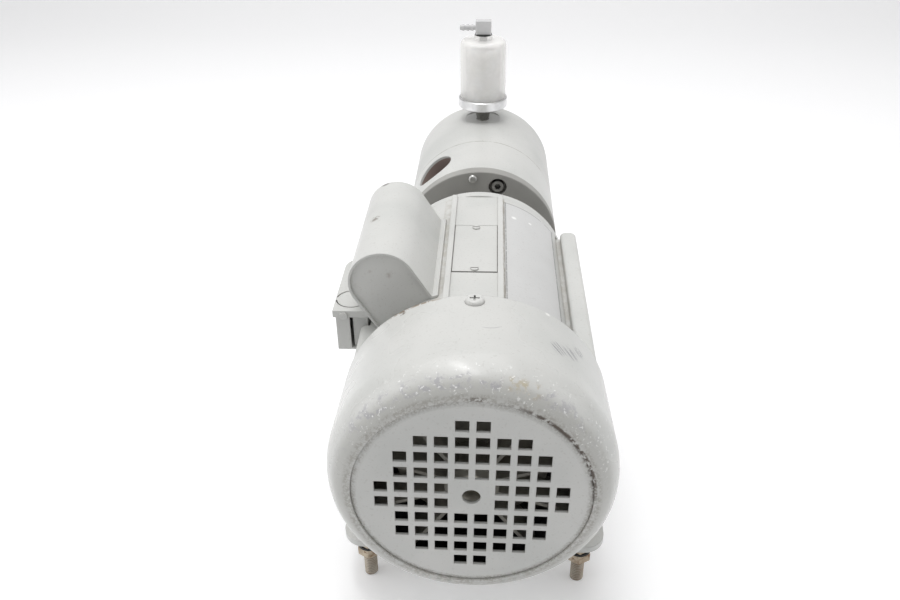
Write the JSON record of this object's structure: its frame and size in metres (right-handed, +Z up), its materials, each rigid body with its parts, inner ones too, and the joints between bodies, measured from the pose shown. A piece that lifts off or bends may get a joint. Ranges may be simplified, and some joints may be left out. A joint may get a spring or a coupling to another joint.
{
  "type": "diaphragm vacuum pump",
  "caption": "Fan-cooled motor on bolted feet drives a diaphragm vacuum pump through a jaw coupling, with an inlet filter and hose barb on top.",
  "frame": {"origin": "midway between the four foot bolts, on the plane of the bolt tips, which is the floor", "axes": "+Z up, +Y along the shaft from the fan to the pump, +X to the right as seen from the fan end"},
  "size_m": [0.154, 0.391, 0.2525],
  "materials": {
    "enamelled_steel": "semi-gloss light grey enamel on pressed steel",
    "grille_enamel": "light grey enamel with dirt at the rim",
    "zinc_steel": "plated, slightly tarnished",
    "enamelled_castings": "semi-gloss light grey enamel on cast and turned parts",
    "label_blank": "plain satin plate",
    "laminations": "stacked silicon steel",
    "copper_winding": "varnished copper wire",
    "dark_plastic": "moulded",
    "rusty_steel": "tarnished plating with brown rust",
    "black_oxide": "black oxide",
    "dark_cast_face": "grey enamel, darker on its fan-side face",
    "bearing_steel": "ground and polished",
    "machined_aluminium": "satin machined",
    "black_rubber": "moulded",
    "bowl_plastic": "clear moulded polycarbonate, lightly hazed",
    "filter_felt": "porous cream felt",
    "nylon_grey": "moulded nylon",
    "fan_plastic": "moulded",
    "iron_casting": "as cast",
    "spider_rubber": "moulded polyurethane"
  },
  "bodies": {
    "root": {"fan_shroud": "enamelled_steel", "grille_plate": "grille_enamel", "shroud_screws": "zinc_steel", "fan_end_bell": "enamelled_castings", "motor_frame": "enamelled_castings", "top_cover_plate": "enamelled_steel", "cover_screws": "zinc_steel", "rating_plate": "label_blank", "pump_end_bell": "enamelled_castings", "through_bolts": "zinc_steel", "stator_core": "laminations", "stator_windings": "copper_winding", "capacitor_cover": "enamelled_steel", "capacitor": "dark_plastic", "terminal_box": "enamelled_steel", "terminal_box_lid": "enamelled_steel", "left_foot": "enamelled_steel", "right_foot": "enamelled_steel", "foot_bolts": "zinc_steel", "foot_washers": "zinc_steel", "foot_nuts": "rusty_steel", "lock_washers": "black_oxide", "motor_adapter": "dark_cast_face", "flange_screws": "black_oxide", "tie_screws": "black_oxide", "locating_pin": "zinc_steel", "lantern_housing": "enamelled_castings", "pump_body": "enamelled_castings", "end_cover": "enamelled_castings", "end_cover_screws": "zinc_steel", "bearing_outer_rings": "bearing_steel", "bearing_balls": "bearing_steel", "clamp_ring": "machined_aluminium", "clamp_ring_screws": "zinc_steel", "valve_plate": "machined_aluminium", "valve_retainers": "zinc_steel", "inlet_nipple": "black_oxide", "filter_base": "machined_aluminium", "bowl_seal": "black_rubber", "filter_bowl": "bowl_plastic", "filter_element": "filter_felt", "elbow_washer": "black_rubber", "elbow_fitting": "nylon_grey"},
    "rotor": {"motor_shaft": "zinc_steel", "rotor_core": "laminations", "fan": "fan_plastic", "bearing_inner_rings": "bearing_steel", "motor_coupling_hub": "iron_casting", "coupling_spider": "spider_rubber", "pump_coupling_hub": "iron_casting", "pump_shaft": "zinc_steel", "counterweight": "iron_casting"},
    "rod": {"connecting_rod": "machined_aluminium", "rod_bush": "bearing_steel", "clamp_plates": "machined_aluminium", "clamp_screw": "zinc_steel", "diaphragm": "black_rubber"},
    "inlet_disc": {"inlet_valve": "black_rubber"},
    "outlet_disc": {"outlet_valve": "black_rubber"}
  },
  "joints": [
    {"name": "shaft_spin", "type": "hinge", "parent": "root", "child": "rotor", "pos_m": [0, 0, 0.123], "axis": [0, 1, 0], "continuous": true},
    {"name": "rod_swing", "type": "hinge", "parent": "rotor", "child": "rod", "pos_m": [0, 0.2534, 0.1205], "axis": [0, 1, 0], "continuous": true, "deforming": ["diaphragm"]},
    {"name": "inlet_valve_lift", "type": "slide", "parent": "root", "child": "inlet_disc", "axis": [0, 0, -1], "range_m": [0, 0.0012]},
    {"name": "outlet_valve_lift", "type": "slide", "parent": "root", "child": "outlet_disc", "axis": [0, 0, 1], "range_m": [0, 0.0012]}
  ],
  "couplings": [
    {"joint": "rod_swing", "follows": "shaft_spin", "ratio": -1}
  ]
}
